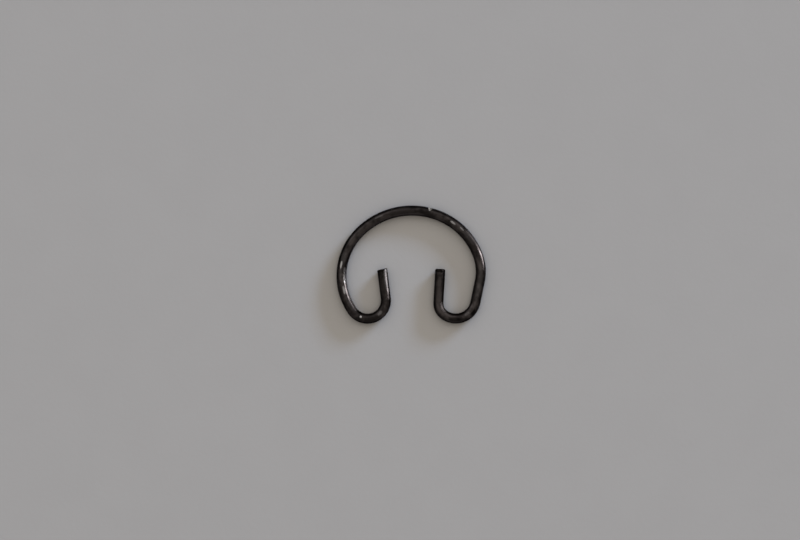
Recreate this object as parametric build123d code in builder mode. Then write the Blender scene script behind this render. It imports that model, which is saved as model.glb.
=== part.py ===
from build123d import *
import os
from math import radians, tan

# Piston pin circlip. Lengths are in millimetres, angles in degrees.
# One length of round spring wire, bent flat: a crown that springs out into the groove of a pin
# bore, a side of its own curve left and right, and both ends turned in as hooks with a short leg.
# The origin is the crown's centre on the wire's mid-plane, +Z runs along the pin, and the gap
# between the hooks opens towards -Y. Bend radii are taken to the middle of the wire.

# Wire
wire_diameter = 1.0

# Crown, with its sweeps counted from the top
crown_radius = 7.23
crown_left_sweep = 44.8
crown_right_sweep = 24.4

# Left side, hook and leg
left_side_radius = 6.06
left_side_sweep = 79.3
left_hook_radius = 1.81
left_hook_sweep = 153.2
left_leg_length = 2.84

# Right side, with a straight run before the hook, which closes more tightly than it opens
right_shoulder_radius = 6.69
right_shoulder_sweep = 43.5
right_side_radius = 4.65
right_side_sweep = 33.9
right_run_length = 2.15
right_hook_radius = 1.95
right_hook_sweep = 114.9
right_close_radius = 1.36
right_close_sweep = 56.5
right_leg_length = 3.31

# Wire ends: the left one is sheared a little askew, the right one is square, and both are tumbled round
left_tip_shear = 5.0
left_tip_round = 0.12
right_tip_round = 0.16

# Nick in the crown's outer edge, a groove with a V section that leans up from the mid-plane
nick_crown_share = 0.154
nick_depth = 0.14
nick_angle = 110.0
nick_lean = 30.0

wire_radius = wire_diameter / 2

with BuildPart() as circlip:
    # The wire's middle line, bent both ways from the crown in runs that meet tangent
    with BuildLine() as bends:
        crown = CenterArc((0, 0), crown_radius, 90 - crown_right_sweep, crown_right_sweep + crown_left_sweep)

        left_side = JernArc(crown @ 1, crown % 1, left_side_radius, left_side_sweep)
        left_hook = JernArc(left_side @ 1, left_side % 1, left_hook_radius, left_hook_sweep)
        # The leg runs past its length by what the askew cut takes off
        left_leg = PolarLine(left_hook @ 1, left_leg_length + wire_radius, direction=left_hook % 1)

        right_shoulder = JernArc(crown @ 0, -(crown % 0), right_shoulder_radius, -right_shoulder_sweep)
        right_side = JernArc(right_shoulder @ 1, right_shoulder % 1, right_side_radius, -right_side_sweep)
        right_run = PolarLine(right_side @ 1, right_run_length, direction=right_side % 1)
        right_hook = JernArc(right_run @ 1, right_run % 1, right_hook_radius, -right_hook_sweep)
        right_close = JernArc(right_hook @ 1, right_hook % 1, right_close_radius, -right_close_sweep)
        right_leg = PolarLine(right_close @ 1, right_leg_length, direction=right_close % 1)

    # The wire itself
    with BuildSketch(Plane(origin=right_leg @ 1, z_dir=right_leg % 1)):
        Circle(wire_radius)
    sweep()

    # The left end, sheared askew at the leg's length
    left_tip = left_hook @ 1 + (left_leg % 1) * left_leg_length
    shear_plane = Plane(origin=left_tip, x_dir=left_leg % 1, z_dir=(0, 0, 1)).rotated((0, 0, left_tip_shear))
    with BuildSketch(shear_plane):
        Rectangle(2 * wire_diameter, 2 * wire_diameter, align=(Align.MIN, Align.CENTER))
    extrude(amount=wire_diameter, both=True, mode=Mode.SUBTRACT)

    # Edges of both ends
    left_end = circlip.faces().filter_by(GeomType.PLANE).sort_by_distance(left_tip)[0]
    fillet(left_end.edges(), left_tip_round)
    right_end = circlip.faces().filter_by(GeomType.PLANE).sort_by_distance(right_leg @ 1)[0]
    fillet(right_end.edges(), right_tip_round)

    # The nick: its V opens outwards across the wire, and its floor leans
    nick_place = crown @ nick_crown_share
    outwards = nick_place.normalized()
    nick_plane = Plane(origin=nick_place, x_dir=outwards, z_dir=(0, 0, 1)).rotated((0, -nick_lean, 0))
    nick_floor = wire_radius - nick_depth
    nick_reach = nick_floor + wire_diameter
    nick_half_width = wire_diameter * tan(radians(nick_angle / 2))
    with BuildSketch(nick_plane):
        Polygon(
            (nick_floor, 0),
            (nick_reach, nick_half_width),
            (nick_reach, -nick_half_width),
            align=None,
        )
    extrude(amount=wire_diameter, both=True, mode=Mode.SUBTRACT)

circlip.part.label = "circlip"
os.makedirs("parts", exist_ok=True)
export_step(circlip.part, "parts/circlip.step")
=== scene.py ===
"""Piston pin circlip: a bent spring wire with a dark tempered finish, on a pale sheet in room light.

Sizes in the classes are millimetres and degrees unless a name says otherwise. Meshes are built in
millimetres and written in metres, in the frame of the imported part: +X right, +Y to the crown, +Z up.
"""

import logging
import math
from dataclasses import dataclass
from enum import Enum
from functools import reduce
from typing import Any, Iterable, Union

import bmesh
import bpy
from bmesh.types import BMEdge, BMesh, BMFace, BMVert
from bpy.types import NodeSocket
from mathutils import Euler, Matrix, Vector


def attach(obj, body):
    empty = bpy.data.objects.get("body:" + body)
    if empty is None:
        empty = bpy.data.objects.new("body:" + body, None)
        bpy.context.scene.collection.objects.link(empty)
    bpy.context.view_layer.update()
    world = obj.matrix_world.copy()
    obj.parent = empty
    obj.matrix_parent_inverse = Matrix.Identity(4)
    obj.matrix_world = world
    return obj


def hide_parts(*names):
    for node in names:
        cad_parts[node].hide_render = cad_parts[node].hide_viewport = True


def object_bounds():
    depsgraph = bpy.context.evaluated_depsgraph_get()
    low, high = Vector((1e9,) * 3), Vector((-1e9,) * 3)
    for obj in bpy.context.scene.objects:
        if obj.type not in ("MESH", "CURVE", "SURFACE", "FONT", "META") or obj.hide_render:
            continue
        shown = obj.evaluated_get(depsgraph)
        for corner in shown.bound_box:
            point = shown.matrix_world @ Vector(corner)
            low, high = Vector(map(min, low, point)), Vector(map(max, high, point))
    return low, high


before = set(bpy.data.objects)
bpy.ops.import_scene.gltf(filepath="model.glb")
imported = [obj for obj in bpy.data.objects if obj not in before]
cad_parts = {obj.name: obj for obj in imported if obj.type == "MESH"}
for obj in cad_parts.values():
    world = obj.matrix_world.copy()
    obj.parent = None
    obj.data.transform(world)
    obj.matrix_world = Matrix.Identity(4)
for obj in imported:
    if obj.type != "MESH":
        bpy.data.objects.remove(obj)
CAD_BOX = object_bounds()

LOG = logging.getLogger("circlip")
MM = 0.001
MICROMETRE = MM * MM
UP = Vector((0.0, 0.0, 1.0))
PAINTED_SHADE_COLOUR = (0.0, 0.0, 0.0)
NOISE_MIDDLE = 0.5
PLACE = "wire_place"
BODY = "root"
NODE = "circlip"

Colour = tuple[float, float, float]
Term = Union["Value", float]


def unique(items: Iterable[Any]) -> list[Any]:
    """Each item once, in the order of its first coming."""
    return list(dict.fromkeys(items))


class Turn(Enum):
    """The way one half of the wire bends as it leaves the top of the crown."""

    LEFT = 1
    RIGHT = -1


class Skin(Enum):
    """The material slots of the wire."""

    DRAWN = 0
    CUT = 1
    NICKED = 2


class MixSocket(Enum):
    """The colour sockets of a Mix node, by number."""

    FIRST = 6
    SECOND = 7
    RESULT = 2


@dataclass(frozen=True)
class Bend:
    """A round stretch of the wire: its radius to the middle of the wire, and its sweep."""

    radius: float
    sweep: float

    @property
    def length(self) -> float:
        """Length along the middle of the wire."""
        return self.radius * math.radians(self.sweep)


@dataclass(frozen=True)
class Run:
    """A straight stretch of the wire."""

    length: float


Stretch = Union[Bend, Run]


@dataclass(frozen=True)
class Laid:
    """A stretch where it lies: its start, its heading there and the wire's length before it."""

    stretch: Stretch
    turn: Turn
    start: Vector
    heading: float
    before: float
    back_swing: float = math.pi / 4

    @property
    def forward(self) -> Vector:
        """Direction of the wire at the start."""
        return Vector((math.cos(self.heading), math.sin(self.heading), 0.0))

    @property
    def inward(self) -> Vector:
        """Direction square to the wire at the start, towards the inside of the bend."""
        return UP.cross(self.forward) * self.turn.value

    @property
    def centre(self) -> Vector:
        """Centre of a bend."""
        return self.start + self.inward * self.stretch.radius

    @property
    def angle(self) -> float:
        """Signed sweep of a bend in radians, and none for a straight run."""
        if isinstance(self.stretch, Run):
            return 0.0
        return math.radians(self.stretch.sweep) * self.turn.value

    @property
    def end(self) -> Vector:
        """Where the middle of the wire leaves the stretch."""
        if isinstance(self.stretch, Run):
            return self.start + self.forward * self.stretch.length
        return self.centre + Matrix.Rotation(self.angle, 3, "Z") @ (self.start - self.centre)

    def locate(self, point: Vector) -> tuple[float, float]:
        """Finds a point's place on this stretch.

        Args:
            point: A point near the wire.

        Returns:
            Its length along the stretch, and its distance out from the middle of the wire.
        """
        if isinstance(self.stretch, Run):
            offset = point - self.start
            return offset.dot(self.forward), -offset.dot(self.inward)
        arm = (point - self.centre).to_2d()
        arm_start = (self.start - self.centre).to_2d()
        swing = -arm_start.angle_signed(arm) * self.turn.value
        if swing < -self.back_swing:
            swing += math.tau
        return swing * self.stretch.radius, arm.length - self.stretch.radius


class Value:
    """A number in a shader. Arithmetic on it adds Math nodes."""

    def __init__(self, tree: "Shader", socket: NodeSocket) -> None:
        """Wraps an output socket of a shader tree."""
        self.tree = tree
        self.socket = socket

    def _math(self, operation: str, *terms: Term) -> "Value":
        """Adds one Math node over the terms."""
        node = self.tree.node("ShaderNodeMath", {"operation": operation}, dict(enumerate(terms)))
        return Value(self.tree, node.outputs[0])

    def __add__(self, other: Term) -> "Value":
        """Sum."""
        return self._math("ADD", self, other)

    def __radd__(self, other: Term) -> "Value":
        """Sum with the number first."""
        return self._math("ADD", other, self)

    def __sub__(self, other: Term) -> "Value":
        """Difference."""
        return self._math("SUBTRACT", self, other)

    def __rsub__(self, other: Term) -> "Value":
        """Difference with the number first."""
        return self._math("SUBTRACT", other, self)

    def __mul__(self, other: Term) -> "Value":
        """Product."""
        return self._math("MULTIPLY", self, other)

    def __rmul__(self, other: Term) -> "Value":
        """Product with the number first."""
        return self._math("MULTIPLY", other, self)

    def larger(self, other: Term) -> "Value":
        """The larger of two numbers."""
        return self._math("MAXIMUM", self, other)

    def rise(self, low: float, high: float) -> "Value":
        """A soft step.

        Args:
            low: Where the step starts.
            high: Where it ends. A step from a larger to a smaller number falls.

        Returns:
            0 before the step, 1 after it.
        """
        node = self.tree.node(
            "ShaderNodeMapRange",
            {"interpolation_type": "SMOOTHSTEP"},
            {"Value": self, "From Min": low, "From Max": high},
        )
        return Value(self.tree, node.outputs["Result"])


class Shader:
    """A node tree of a material or of the world, with short ways to add nodes."""

    def __init__(self, owner: Union[bpy.types.Material, bpy.types.World]) -> None:
        """Empties the owner's node tree.

        Args:
            owner: The material or world that is shaded.
        """
        owner.use_nodes = True
        self.tree = owner.node_tree
        self.tree.nodes.clear()

    def node(self, kind: str, settings: dict[str, Any], sockets: dict[Any, Any]) -> bpy.types.Node:
        """Adds a node.

        Args:
            kind: The node's type.
            settings: Its properties, which are set first.
            sockets: Values, links or wrapped numbers by input name or number.

        Returns:
            The node.
        """
        made = self.tree.nodes.new(kind)
        for name, setting in settings.items():
            setattr(made, name, setting)
        for key, given in sockets.items():
            source = given.socket if isinstance(given, Value) else given
            if isinstance(source, NodeSocket):
                self.tree.links.new(source, made.inputs[key])
            else:
                made.inputs[key].default_value = source
        return made

    def place(self, output: str) -> NodeSocket:
        """The place that a pattern is read from: Object on a piece, Generated in the world."""
        return self.node("ShaderNodeTexCoord", {}, {}).outputs[output]

    def stretched(self, place: NodeSocket, scale: tuple[float, float, float]) -> NodeSocket:
        """Scales a place, so that a pattern read from it is drawn out."""
        node = self.node("ShaderNodeVectorMath", {"operation": "MULTIPLY"}, {0: place, 1: scale})
        return node.outputs[0]

    def noise(self, place: NodeSocket, scale: float, detail: float, roughness: float = 0.5) -> Value:
        """Adds a noise texture.

        Args:
            place: The socket that it reads its place from.
            scale: Grains in a unit of that place.
            detail: Octaves of finer grain.
            roughness: Weight of the finer grain.

        Returns:
            The noise, from 0 to 1 about one half.
        """
        inputs = {"Vector": place, "Scale": scale, "Detail": detail, "Roughness": roughness}
        return Value(self, self.node("ShaderNodeTexNoise", {}, inputs).outputs["Fac"])

    def blend(self, share: Value, first: Union[Colour, NodeSocket], second: Colour) -> NodeSocket:
        """Mixes two colours.

        Args:
            share: Share of the second colour.
            first: A colour or a colour socket.
            second: A colour.

        Returns:
            The mixed colour's socket.
        """
        start = (*first, 1.0) if isinstance(first, tuple) else first
        sockets = {
            "Factor": share,
            MixSocket.FIRST.value: start,
            MixSocket.SECOND.value: (*second, 1.0),
        }
        mix = self.node("ShaderNodeMix", {"data_type": "RGBA"}, sockets)
        return mix.outputs[MixSocket.RESULT.value]

    def bump(self, height: Value, depth_um: float, strength: float = 1.0) -> NodeSocket:
        """Adds a fine relief.

        Args:
            height: The relief, from 0 to 1.
            depth_um: Its depth in micrometres.
            strength: How much of it shows.

        Returns:
            The normals' socket.
        """
        sockets = {"Strength": strength, "Distance": depth_um * MICROMETRE, "Height": height}
        return self.node("ShaderNodeBump", {}, sockets).outputs["Normal"]

    def surface(self, sockets: dict[str, Any]) -> None:
        """Adds the surface shader and shows it.

        Args:
            sockets: Its values, links or wrapped numbers by input name.
        """
        principled = self.node("ShaderNodeBsdfPrincipled", {}, sockets)
        self.node("ShaderNodeOutputMaterial", {}, {"Surface": principled.outputs[0]})


@dataclass(frozen=True)
class Mark:
    """A mark on the upper half of the wire, an ellipse laid along it.

    Its place is the length along the wire from the top of the crown, with the right half positive,
    and the distance out from the wire's middle. Then come its half length and half width, and how
    far it lightens the steel for wear and painted highlight, dulls it and darkens it as painted shade,
    each from 0 to 1.
    """

    along: float
    side: float
    length: float
    width: float
    wear_and_highlight: float = 0.0
    dull: float = 0.0
    painted_shade: float = 0.0


@dataclass(frozen=True)
class PaintedShadeStretch:
    """A stretch of the wire with painted shade, its steel darkened: its middle, how far it reaches and
    how dark it is.
    """

    along: float
    reach: float
    depth: float


@dataclass(frozen=True)
class TemperedFinish:
    """Dark oil-tempered spring steel: thin oxide over drawn lines, marked where it rubbed or was bent,
    with painted highlights, sheen and reflections laid as lighter steel and painted shade laid as
    darkened marks and stretches.

    Patterns that follow the wire are counted per millimetre along, out and up. The limits are those
    of soft steps.
    """

    name: str = "tempered_wire_with_painted_light"
    oxide_black: Colour = (0.0195, 0.0173, 0.0179)
    oxide_brown: Colour = (0.0505, 0.0448, 0.0464)
    wear_and_highlight_steel: Colour = (0.54, 0.54, 0.58)
    edge_tint: Colour = (0.47, 0.47, 0.47)
    roughness: float = 0.155
    line_roughness: float = 0.10
    cloud_roughness: float = 0.08
    dull_roughness: float = 0.62
    lines_per_mm: tuple[float, float, float] = (0.5, 16.0, 16.0)
    line_octaves: float = 3.0
    line_depth_um: float = 8.0
    clouds_per_mm: float = 0.9
    cloud_octaves: float = 5.0
    cloud_roughening: float = 0.62
    cloud_limits: tuple[float, float] = (0.40, 0.60)
    grains_per_mm: float = 9.0
    grain_octaves: float = 2.0
    grain_share: float = 0.08
    scuffs_per_mm: tuple[float, float, float] = (3.5, 14.0, 14.0)
    scuff_octaves: float = 2.0
    scuff_reach: float = 1.5
    mark_limits: tuple[float, float] = (1.2, 0.3)
    upper_limits: tuple[float, float] = (0.0, 0.2)
    painted_shade_limits: tuple[float, float] = (1.0, 0.0)
    # Painted shade: darker stretches over the crown, the lower left side, both hooks and the left leg,
    # where the wire looks darker by how light falls on it
    painted_shade_stretches: tuple[PaintedShadeStretch, ...] = (
        PaintedShadeStretch(0.0, 9.0, 0.34),
        PaintedShadeStretch(-13.2, 1.6, 0.35),
        PaintedShadeStretch(-15.9, 2.2, 0.35),
        PaintedShadeStretch(-20.8, 2.6, 0.25),
        PaintedShadeStretch(15.5, 1.8, 0.30),
    )
    marks: tuple[Mark, ...] = (
        # Crown: painted shade on the crest and outer edge, a faint painted highlight streak, and two
        # small lighter spots
        Mark(-0.60, 0.00, 2.70, 0.36, painted_shade=0.62),
        Mark(-3.30, 0.11, 0.50, 0.09, wear_and_highlight=0.05),
        Mark(-5.60, 0.37, 6.20, 0.18, painted_shade=0.62),
        Mark(4.24, 0.03, 0.32, 0.10, wear_and_highlight=0.33),
        Mark(5.30, 0.10, 0.28, 0.10, wear_and_highlight=0.16),
        # Left side: lighter steel along its inner edge and on top, partly wear and partly painted
        # highlight, sheen and reflection, and painted shade on its outer half lower down
        Mark(-8.60, 0.02, 0.70, 0.30, wear_and_highlight=0.03),
        Mark(-9.34, 0.125, 0.44, 0.10, wear_and_highlight=0.56),
        Mark(-9.85, -0.28, 0.35, 0.16, wear_and_highlight=0.06, dull=0.35),
        Mark(-10.30, 0.13, 0.80, 0.16, wear_and_highlight=0.03),
        Mark(-10.64, -0.27, 0.56, 0.13, wear_and_highlight=0.40),
        Mark(-11.85, -0.10, 0.48, 0.13, wear_and_highlight=0.34),
        Mark(-11.90, -0.46, 2.60, 0.10, wear_and_highlight=0.62),
        Mark(-12.10, 0.20, 0.80, 0.18, painted_shade=0.50),
        Mark(-13.40, -0.10, 1.00, 0.16, wear_and_highlight=0.025),
        # Left hook: one bright spot and one dull one
        Mark(-15.11, -0.07, 0.13, 0.12, wear_and_highlight=0.52),
        Mark(-17.20, -0.06, 0.32, 0.16, wear_and_highlight=0.09, dull=0.5),
        # Left leg: painted shade on top, where its glint ends and across its end, a rubbed stretch on its
        # outer side whose lighter steel also paints a broader highlight, and a painted highlight on the
        # outer corner of the end
        Mark(-19.15, 0.28, 0.30, 0.15, painted_shade=0.5),
        Mark(-20.30, -0.05, 1.50, 0.28, painted_shade=0.6),
        Mark(-20.65, 0.26, 1.10, 0.24, wear_and_highlight=0.045, dull=0.38),
        Mark(-21.55, -0.15, 0.17, 0.38, painted_shade=0.75),
        Mark(-21.62, 0.44, 0.26, 0.16, wear_and_highlight=0.12, dull=0.6),
        # Right shoulder and side: lighter steel along the outer edge, partly wear and partly painted
        # reflection, painted shade on the crest where the side begins and over the end of its glint, and
        # faint painted sheen on top
        Mark(6.40, 0.05, 0.90, 0.24, wear_and_highlight=0.022),
        Mark(7.10, 0.46, 2.10, 0.09, wear_and_highlight=0.34),
        Mark(8.45, -0.02, 0.65, 0.22, painted_shade=0.50),
        Mark(9.20, 0.30, 1.00, 0.22, painted_shade=0.30),
        Mark(11.10, 0.00, 2.00, 0.28, wear_and_highlight=0.022),
        # Right hook: painted shade towards the outside and over the glint inside, which is also dull, and
        # one dull, slightly lighter spot
        Mark(13.95, -0.15, 0.30, 0.35, painted_shade=0.35),
        Mark(14.00, 0.22, 0.42, 0.20, painted_shade=0.85),
        Mark(14.50, -0.12, 0.35, 0.14, wear_and_highlight=0.05, dull=0.5),
        Mark(15.85, 0.10, 0.70, 0.28, painted_shade=0.72),
        Mark(16.20, 0.37, 4.20, 0.17, painted_shade=0.50),
        Mark(17.70, -0.34, 0.75, 0.22, dull=0.6, painted_shade=0.40),
        # Right leg: painted shade on top, over the glint on its inner side, and across its end
        Mark(20.00, 0.10, 1.70, 0.36, painted_shade=0.25),
        Mark(20.10, -0.34, 1.90, 0.20, painted_shade=0.65),
        Mark(21.48, 0.00, 0.22, 0.80, painted_shade=0.75),
    )

    def make(self) -> bpy.types.Material:
        """Makes the material.

        Returns:
            The finish of the drawn surface of the wire.
        """
        material = bpy.data.materials.new(self.name)
        shader = Shader(material)
        place = shader.node("ShaderNodeAttribute", {"attribute_name": PLACE}, {}).outputs["Vector"]
        spot = shader.place("Object")
        lines = shader.noise(shader.stretched(place, self.lines_per_mm), 1.0, self.line_octaves)
        cloud = shader.noise(spot, self.clouds_per_mm / MM, self.cloud_octaves, self.cloud_roughening)
        grain = shader.noise(spot, self.grains_per_mm / MM, self.grain_octaves)
        wear_and_highlight, dull, painted_shade = self._wear(shader, place)
        oxide = shader.blend(cloud.rise(*self.cloud_limits), self.oxide_black, self.oxide_brown)
        # Painted shade darkens the oxide where the marks and stretches lay it.
        oxide = shader.blend(painted_shade, oxide, PAINTED_SHADE_COLOUR)
        rough = self.roughness + self.line_roughness * (lines - NOISE_MIDDLE)
        rough = rough + self.cloud_roughness * (cloud - NOISE_MIDDLE)
        shader.surface(
            {
                # Lighter steel shows wear and paints highlights, sheen and reflections where the marks
                # lay it.
                "Base Color": shader.blend(wear_and_highlight, oxide, self.wear_and_highlight_steel),
                "Metallic": 1.0,
                "Roughness": rough + dull * (self.dull_roughness - rough),
                "Specular Tint": (*self.edge_tint, 1.0),
                "Normal": shader.bump(lines + self.grain_share * grain, self.line_depth_um),
            }
        )
        return material

    def _wear(self, shader: Shader, place: NodeSocket) -> tuple[Value, Value, Value]:
        """Lays the marks and the stretches of painted shade along the wire.

        Args:
            shader: The material's node tree.
            place: The place on the wire: along, out and up.

        Returns:
            How far the wire is lightened for wear and painted highlight, dulled, and darkened as painted
            shade, each from 0 to 1.
        """
        apart = shader.node("ShaderNodeSeparateXYZ", {}, {0: place})
        along, side, height = (Value(shader, apart.outputs[axis]) for axis in "XYZ")
        scuff = shader.noise(shader.stretched(place, self.scuffs_per_mm), 1.0, self.scuff_octaves)
        ragged = self.scuff_reach * (scuff - NOISE_MIDDLE)
        upper = height.rise(*self.upper_limits)
        wear_and_highlight, dull, painted_shade = [], [], []
        for mark in self.marks:
            reach = self._off(along, mark.along, mark.length) + self._off(side, mark.side, mark.width)
            inside = (reach + ragged).rise(*self.mark_limits) * upper
            for shares, share in ((wear_and_highlight, mark.wear_and_highlight), (dull, mark.dull), (painted_shade, mark.painted_shade)):
                if share:
                    shares.append(inside * share)
        # Stretches of painted shade darken the wire along its length
        for shade_stretch in self.painted_shade_stretches:
            inside = self._off(along, shade_stretch.along, shade_stretch.reach).rise(*self.painted_shade_limits)
            painted_shade.append(inside * shade_stretch.depth)
        return self._strongest(wear_and_highlight), self._strongest(dull), self._strongest(painted_shade)

    @staticmethod
    def _off(place: Value, middle: float, reach: float) -> Value:
        """Squared distance from a middle, 1 at its reach."""
        off = (place - middle) * (1.0 / reach)
        return off * off

    @staticmethod
    def _strongest(shares: Iterable[Value]) -> Value:
        """The largest of several numbers."""
        return reduce(Value.larger, shares)


@dataclass(frozen=True)
class CutFinish:
    """Steel bared by a cut: fine lines across it and a thin film of oxide."""

    name: str
    steel: Colour
    film: Colour
    roughness: float
    line_roughness: float = 0.2
    lines_per_mm: float = 22.0
    line_stretch: tuple[float, float, float] = (1.0, 1.0, 0.08)
    line_octaves: float = 2.0
    line_depth_um: float = 3.0
    films_per_mm: float = 2.5
    film_octaves: float = 3.0
    film_limits: tuple[float, float] = (0.3, 0.7)

    def make(self) -> bpy.types.Material:
        """Makes the material.

        Returns:
            The finish of a cut face.
        """
        material = bpy.data.materials.new(self.name)
        shader = Shader(material)
        spot = shader.place("Object")
        drawn_out = shader.stretched(spot, self.line_stretch)
        lines = shader.noise(drawn_out, self.lines_per_mm / MM, self.line_octaves)
        film = shader.noise(spot, self.films_per_mm / MM, self.film_octaves)
        shader.surface(
            {
                "Base Color": shader.blend(film.rise(*self.film_limits), self.steel, self.film),
                "Metallic": 1.0,
                "Roughness": self.roughness + self.line_roughness * (lines - NOISE_MIDDLE),
                "Normal": shader.bump(lines, self.line_depth_um),
            }
        )
        return material


@dataclass
class BentWire:
    """The whole clip: one round wire, bent both ways from the top of its crown, cut at both ends."""

    wire_diameter: float = 1.0
    crown_radius: float = 7.23
    crown_left_sweep: float = 44.8
    crown_right_sweep: float = 24.4
    left_side: Bend = Bend(radius=6.06, sweep=79.3)
    left_hook: Bend = Bend(radius=1.81, sweep=153.2)
    left_leg: Run = Run(length=2.84)
    right_shoulder: Bend = Bend(radius=6.69, sweep=43.5)
    right_side: Bend = Bend(radius=4.65, sweep=33.9)
    right_run: Run = Run(length=2.15)
    right_hook: Bend = Bend(radius=1.95, sweep=114.9)
    right_close: Bend = Bend(radius=1.36, sweep=56.5)
    right_leg: Run = Run(length=3.31)
    left_tip_shear: float = 5.0
    left_tip_round: float = 0.12
    right_tip_round: float = 0.16
    nick_crown_share: float = 0.154
    nick_depth: float = 0.14
    nick_angle: float = 110.0
    nick_lean: float = 30.0
    section_sides: int = 48
    ring_spacing: float = 0.12
    least_rings: int = 8
    rim_steps: int = 6
    weld_slack: float = 1e-5
    shear_slack: float = 1e-6
    wall_slack: float = 1e-4
    drawn_finish: TemperedFinish = TemperedFinish()
    cut_finish: CutFinish = CutFinish(
        "cut_end", steel=(0.16, 0.155, 0.15), film=(0.07, 0.066, 0.062), roughness=0.42
    )
    nick_finish: CutFinish = CutFinish(
        "nicked_steel", steel=(0.27, 0.265, 0.26), film=(0.17, 0.165, 0.16), roughness=0.68
    )
    name: str = "bent_wire"

    def build(self) -> bpy.types.Object:
        """Builds the wire's mesh.

        Returns:
            The wire, at the origin, with each point's place on the wire in an attribute.
        """
        mesh = bmesh.new()
        first = self._first_ring(mesh)
        left = self._laid(Turn.LEFT)
        right = self._laid(Turn.RIGHT)
        left_end = self._bend(mesh, first, left)
        right_end = self._bend(mesh, first, right)
        self._shear_tip(mesh, left_end, left[-1])
        self._close_tip(mesh, right_end, self.right_tip_round)
        bmesh.ops.remove_doubles(mesh, verts=mesh.verts, dist=self.weld_slack)
        bmesh.ops.recalc_face_normals(mesh, faces=mesh.faces)
        self._cut_nick(mesh)
        self._mark_places(mesh, left + right)
        self._smooth(mesh)
        bmesh.ops.scale(mesh, vec=(MM, MM, MM), verts=mesh.verts)
        data = bpy.data.meshes.new(self.name)
        mesh.to_mesh(data)
        mesh.free()
        wire = bpy.data.objects.new(self.name, data)
        bpy.context.scene.collection.objects.link(wire)
        return wire

    def dress(self, wire: bpy.types.Object) -> None:
        """Gives the wire its finishes, in the order of its slots, and its place in the frame.

        Args:
            wire: The built wire.
        """
        for finish in (self.drawn_finish, self.cut_finish, self.nick_finish):
            wire.data.materials.append(finish.make())
        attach(wire, BODY)
        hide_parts(NODE)

    def _first_ring(self, mesh: BMesh) -> list[BMEdge]:
        """Makes the ring of section edges at the top of the crown.

        Args:
            mesh: The mesh that the wire grows in.

        Returns:
            The ring's edges.
        """
        stand = Matrix.Translation((0.0, self.crown_radius, 0.0)) @ Matrix.Rotation(math.pi / 2, 4, "Y")
        bmesh.ops.create_circle(
            mesh,
            cap_ends=False,
            segments=self.section_sides,
            radius=self.wire_diameter / 2,
            matrix=stand,
        )
        return list(mesh.edges)

    def _laid(self, turn: Turn) -> list[Laid]:
        """Lays the stretches of one half end to end from the top of the crown.

        Args:
            turn: The way this half bends.

        Returns:
            The stretches in order, the crown's first.
        """
        stretches: dict[Turn, tuple[Stretch, ...]] = {
            Turn.LEFT: (
                Bend(self.crown_radius, self.crown_left_sweep),
                self.left_side,
                self.left_hook,
                self.left_leg,
            ),
            Turn.RIGHT: (
                Bend(self.crown_radius, self.crown_right_sweep),
                self.right_shoulder,
                self.right_side,
                self.right_run,
                self.right_hook,
                self.right_close,
                self.right_leg,
            ),
        }
        start = Vector((0.0, self.crown_radius, 0.0))
        heading = math.pi if turn is Turn.LEFT else 0.0
        before = 0.0
        laid = []
        for stretch in stretches[turn]:
            laid.append(Laid(stretch, turn, start, heading, before))
            start = laid[-1].end
            heading += laid[-1].angle
            before += stretch.length
        return laid

    def _bend(self, mesh: BMesh, ring: list[BMEdge], laid: list[Laid]) -> list[BMEdge]:
        """Grows one half of the wire.

        Args:
            mesh: The mesh that the wire grows in.
            ring: The ring of edges that it starts from.
            laid: The stretches to follow.

        Returns:
            The ring of edges at the tip.
        """
        for part in laid:
            if isinstance(part.stretch, Run):
                grown = bmesh.ops.extrude_edge_only(mesh, edges=ring)["geom"]
                points = [g for g in grown if isinstance(g, BMVert)]
                bmesh.ops.translate(mesh, verts=points, vec=part.forward * part.stretch.length)
                edges = [g for g in grown if isinstance(g, BMEdge)]
                ring = [e for e in edges if all(v in points for v in e.verts)]
                continue
            points = unique(v for edge in ring for v in edge.verts)
            grown = bmesh.ops.spin(
                mesh,
                geom=points + ring,
                cent=part.centre,
                axis=UP,
                angle=part.angle,
                steps=max(self.least_rings, math.ceil(part.stretch.length / self.ring_spacing)),
                use_duplicate=False,
            )["geom_last"]
            ring = [g for g in grown if isinstance(g, BMEdge)]
        return ring

    def _close_tip(self, mesh: BMesh, ring: list[BMEdge], rounding: float) -> None:
        """Closes a tip with a cut face and rounds its rim.

        Args:
            mesh: The wire's mesh.
            ring: The open ring of edges at the tip.
            rounding: Radius of the rim.
        """
        face = bmesh.ops.edgeloop_fill(mesh, edges=ring)["faces"][0]
        face.material_index = Skin.CUT.value
        rim = bmesh.ops.bevel(
            mesh,
            geom=list(face.edges),
            offset=rounding,
            segments=self.rim_steps,
            profile=0.5,
            affect="EDGES",
            material=-1,
        )["faces"]
        for piece in rim:
            piece.material_index = Skin.DRAWN.value

    def _shear_tip(self, mesh: BMesh, ring: list[BMEdge], leg: Laid) -> None:
        """Shears the left tip askew and closes it.

        Args:
            mesh: The wire's mesh.
            ring: The open ring of edges at the tip.
            leg: The straight stretch that ends there.
        """
        points = unique(v for edge in ring for v in edge.verts)
        bmesh.ops.translate(mesh, verts=points, vec=leg.forward * self.wire_diameter / 2)
        faces = unique(f for edge in ring for f in edge.link_faces)
        edges = unique(e for f in faces for e in f.edges)
        corners = unique(v for f in faces for v in f.verts)
        cut = bmesh.ops.bisect_plane(
            mesh,
            geom=faces + edges + corners,
            dist=self.shear_slack,
            plane_co=leg.end,
            plane_no=Matrix.Rotation(math.radians(self.left_tip_shear), 3, "Z") @ leg.forward,
            clear_outer=True,
        )["geom_cut"]
        self._close_tip(mesh, [g for g in cut if isinstance(g, BMEdge)], self.left_tip_round)

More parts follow.
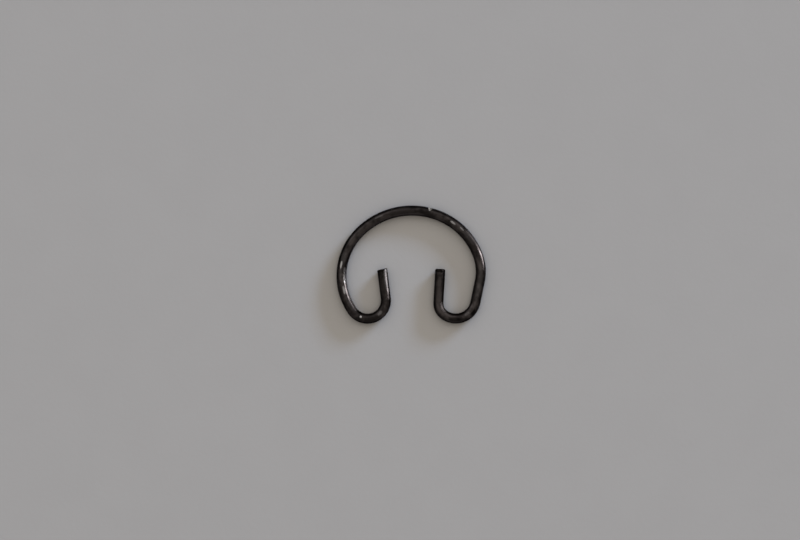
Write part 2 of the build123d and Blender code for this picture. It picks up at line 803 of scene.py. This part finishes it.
    def _cut_nick(self, mesh: BMesh) -> None:
        """Cuts the nick: a leaning groove with a V section in the outer edge of the crown.

        Args:
            mesh: The wire's mesh.
        """
        crown_sweep = self.crown_left_sweep + self.crown_right_sweep
        turned = math.radians(self.crown_right_sweep - self.nick_crown_share * crown_sweep)
        stand = Matrix.Rotation(-turned, 3, "Z")
        lean = Matrix.Rotation(math.radians(self.nick_lean), 3, "X")
        opening = stand @ lean @ Vector((0.0, 1.0, 0.0))
        floor = stand @ lean @ UP
        middle = stand @ Vector((0.0, self.crown_radius, 0.0))
        deepest = middle + opening * (self.wire_diameter / 2 - self.nick_depth)
        half = math.radians(self.nick_angle / 2)
        walls = [Matrix.Rotation(sign * (math.pi / 2 - half), 3, floor) @ opening for sign in (1, -1)]
        near = [f for f in mesh.faces if (f.calc_center_median() - deepest).length < self.wire_diameter]
        for wall in walls:
            geom = unique(g for f in near if f.is_valid for g in (f, *f.edges, *f.verts))
            cut = bmesh.ops.bisect_plane(
                mesh, geom=geom, dist=self.weld_slack, plane_co=deepest, plane_no=wall
            )["geom"]
            near = [g for g in cut if isinstance(g, BMFace)]

        def reach(point: Vector) -> tuple[float, float]:
            """Distances in front of the two walls."""
            return (point - deepest).dot(walls[0]), (point - deepest).dot(walls[1])

        lost = [f for f in near if min(reach(f.calc_center_median())) > 0.0]
        bmesh.ops.delete(mesh, geom=lost, context="FACES")
        rim = [e for e in mesh.edges if e.is_boundary]
        rim_points = unique(v for e in rim for v in e.verts)
        tips = [v for v in rim_points if max(abs(d) for d in reach(v.co)) < self.wall_slack]
        valley = mesh.edges.new(tips)
        for number in range(len(walls)):
            on_wall = [e for e in rim if all(abs(reach(v.co)[number]) < self.wall_slack for v in e.verts)]
            face = bmesh.ops.contextual_create(mesh, geom=[*on_wall, valley])["faces"][0]
            face.material_index = Skin.NICKED.value

    def _mark_places(self, mesh: BMesh, laid: list[Laid]) -> None:
        """Writes each point's place on the wire: along from the crown, out from the middle, and up.

        Args:
            mesh: The finished mesh.
            laid: Every stretch of both halves.
        """
        layer = mesh.verts.layers.float_vector.new(PLACE)
        slack = self.wire_diameter / 4
        for point in mesh.verts:
            best = None
            for part in laid:
                along, side = part.locate(point.co)
                on_part = -slack < along < part.stretch.length + slack
                if on_part and (best is None or abs(side) < abs(best[1])):
                    best = (-part.turn.value * (part.before + along), side)
            point[layer] = (*best, point.co.z)

    @staticmethod
    def _smooth(mesh: BMesh) -> None:
        """Shades the drawn surface smooth and keeps the edges of cut faces sharp.

        Args:
            mesh: The finished mesh.
        """
        for face in mesh.faces:
            face.smooth = face.material_index == Skin.DRAWN.value
        for edge in mesh.edges:
            edge.smooth = all(face.smooth for face in edge.link_faces)


@dataclass(frozen=True)
class SheetFinish:
    """Pale uncoated paper with a faint cloud and a fine tooth."""

    name: str = "pale_sheet"
    light: Colour = (0.341, 0.333, 0.335)
    dark: Colour = (0.336, 0.328, 0.330)
    roughness: float = 0.9
    gloss: float = 0.1
    clouds_per_mm: float = 0.18
    cloud_octaves: float = 4.0
    cloud_roughening: float = 0.6
    cloud_limits: tuple[float, float] = (0.3, 0.7)
    teeth_per_mm: float = 2.2
    tooth_octaves: float = 2.0
    tooth_depth_um: float = 20.0
    tooth_strength: float = 0.4

    def make(self) -> bpy.types.Material:
        """Makes the material.

        Returns:
            The finish of the sheet.
        """
        material = bpy.data.materials.new(self.name)
        shader = Shader(material)
        spot = shader.place("Object")
        cloud = shader.noise(spot, self.clouds_per_mm / MM, self.cloud_octaves, self.cloud_roughening)
        tooth = shader.noise(spot, self.teeth_per_mm / MM, self.tooth_octaves)
        shader.surface(
            {
                "Base Color": shader.blend(cloud.rise(*self.cloud_limits), self.dark, self.light),
                "Roughness": self.roughness,
                "Specular IOR Level": self.gloss,
                "Normal": shader.bump(tooth, self.tooth_depth_um, self.tooth_strength),
            }
        )
        return material


@dataclass(frozen=True)
class Sheet:
    """The pale sheet that the clip lies on."""

    half_width: float = 4000.0
    finish: SheetFinish = SheetFinish()
    name: str = "floor_sheet"

    def build(self) -> bpy.types.Object:
        """Builds the sheet at the height of the clip's underside.

        Returns:
            The sheet.
        """
        mesh = bmesh.new()
        level = Matrix.Translation((0.0, 0.0, CAD_BOX[0].z))
        bmesh.ops.create_grid(mesh, x_segments=1, y_segments=1, size=self.half_width * MM, matrix=level)
        data = bpy.data.meshes.new(self.name)
        mesh.to_mesh(data)
        mesh.free()
        sheet = bpy.data.objects.new(self.name, data)
        bpy.context.scene.collection.objects.link(sheet)
        return sheet

    def dress(self, sheet: bpy.types.Object) -> None:
        """Gives the sheet its finish."""
        sheet.data.materials.append(self.finish.make())


@dataclass(frozen=True)
class Panel:
    """A far, soft light panel that faces the clip.

    It is set by its bearing and height, the angles that it fills, and the share of the sheet's light
    that it gives, or would give if it lit the sheet. A panel may show only in the gloss of metal, or
    only light the sheet.
    """

    name: str
    bearing: float
    height: float
    width_angle: float
    tall_angle: float
    share: float
    tint: Colour
    on_floor: bool = True
    in_gloss: bool = True
    distance: float = 3000.0

    def build(self) -> bpy.types.Object:
        """Makes the lamp.

        Returns:
            The panel, facing the origin.
        """
        light = bpy.data.lights.new(self.name, "AREA")
        light.shape = "RECTANGLE"
        light.size = self._across(self.width_angle)
        light.size_y = self._across(self.tall_angle)
        light.color = self.tint
        # Its power is its brightness times pi and its area, and a sheet lit to 1 takes pi units of light
        light.energy = self.share * math.pi**2 * light.size * light.size_y / self._reach()
        lamp = bpy.data.objects.new(self.name, light)
        bpy.context.scene.collection.objects.link(lamp)
        turned = Euler((0.0, -math.radians(self.height), math.radians(self.bearing)))
        way_out = turned.to_matrix() @ Vector((1.0, 0.0, 0.0))
        lamp.visible_diffuse = self.on_floor
        lamp.visible_glossy = self.in_gloss
        lamp.location = way_out * self.distance * MM
        lamp.rotation_euler = way_out.to_track_quat("Z", "Y").to_euler()
        return lamp

    def _reach(self) -> float:
        """Light on the floor for each unit of the panel's brightness."""
        wide, tall = math.radians(self.width_angle / 2), math.radians(self.tall_angle / 2)
        facing = 2 * math.sin(wide) * math.atan(math.tan(tall) * math.cos(wide))
        facing += 2 * math.sin(tall) * math.atan(math.tan(wide) * math.cos(tall))
        return facing * math.sin(math.radians(self.height))

    def _across(self, angle: float) -> float:
        """The panel's size in metres for the angle that it fills."""
        return 2 * self.distance * math.tan(math.radians(angle / 2)) * MM


@dataclass(frozen=True)
class RoomLight:
    """A dim warm room, darker low down, with a low window to the right and soft panels round it.

    The room and the panels that light the sheet give it 1 in all in each colour, so that it renders
    as its colour is written.
    """

    horizon: Colour = (0.176, 0.160, 0.144)
    zenith: Colour = (0.838, 0.781, 0.682)
    panels: tuple[Panel, ...] = (
        Panel(
            "window",
            bearing=15.0,
            height=16.0,
            width_angle=16.0,
            tall_angle=32.0,
            share=0.20,
            tint=(1.0, 0.985, 0.96),
            on_floor=False,
        ),
        Panel(
            "curtain",
            bearing=30.0,
            height=14.0,
            width_angle=24.0,
            tall_angle=28.0,
            share=0.09,
            tint=(1.0, 0.985, 0.96),
            on_floor=False,
        ),
        Panel(
            "front_wall",
            bearing=270.0,
            height=14.0,
            width_angle=120.0,
            tall_angle=24.0,
            share=0.017,
            tint=(1.0, 0.93, 0.88),
            on_floor=False,
        ),
        Panel(
            "key",
            bearing=46.0,
            height=15.0,
            width_angle=20.0,
            tall_angle=9.0,
            share=0.30,
            tint=(0.567, 0.733, 1.0),
            in_gloss=False,
        ),
        Panel(
            "soft_box",
            bearing=85.0,
            height=50.0,
            width_angle=130.0,
            tall_angle=44.0,
            share=0.1975,
            tint=(1.0, 0.97, 0.93),
        ),
        Panel(
            "ceiling",
            bearing=180.0,
            height=89.0,
            width_angle=18.0,
            tall_angle=80.0,
            share=0.015,
            tint=(1.0, 0.97, 0.93),
        ),
    )

    def build(self) -> None:
        """Makes the room and its panels."""
        world = bpy.data.worlds.new("room")
        bpy.context.scene.world = world
        shader = Shader(world)
        way = shader.node("ShaderNodeSeparateXYZ", {}, {0: shader.place("Generated")})
        height = Value(shader, way.outputs["Z"]).larger(0.0)
        wall = shader.blend(height, self.horizon, self.zenith)
        background = shader.node("ShaderNodeBackground", {}, {"Color": wall, "Strength": 1.0})
        shader.node("ShaderNodeOutputWorld", {}, {"Surface": background.outputs[0]})
        for panel in self.panels:
            panel.build()


@dataclass(frozen=True)
class PhotoCamera:
    """The camera of the photograph, straight above the clip."""

    frame_px: tuple[int, int] = (800, 540)
    crown_centre_px: tuple[float, float] = (411.79, 284.39)
    mm_per_px: float = 0.098
    lens: float = 85.0
    sensor: float = 36.0

    def build(self) -> None:
        """Makes the camera and the plain view of its colours."""
        data = bpy.data.cameras.new("camera")
        data.lens = self.lens
        data.sensor_width = self.sensor
        data.clip_start = MM
        camera = bpy.data.objects.new("camera", data)
        bpy.context.scene.collection.objects.link(camera)
        across = (self.frame_px[0] / 2 - self.crown_centre_px[0]) * self.mm_per_px
        up = (self.crown_centre_px[1] - self.frame_px[1] / 2) * self.mm_per_px
        away = self.lens / self.sensor * self.frame_px[0] * self.mm_per_px
        camera.location = Vector((across, up, away)) * MM
        bpy.context.scene.camera = camera
        bpy.context.scene.view_settings.view_transform = "Standard"


def main() -> None:
    """Builds the clip, the sheet, the light and the camera in order."""
    logging.basicConfig(level=logging.INFO, format="%(name)s: %(message)s")
    clip = BentWire()
    wire = clip.build()
    clip.dress(wire)
    LOG.info("%s has %d faces", wire.name, len(wire.data.polygons))
    stage = Sheet()
    sheet = stage.build()
    stage.dress(sheet)
    LOG.info("%s lies at %.4f m", sheet.name, CAD_BOX[0].z)
    RoomLight().build()
    PhotoCamera().build()


if __name__ == "__main__":
    main()
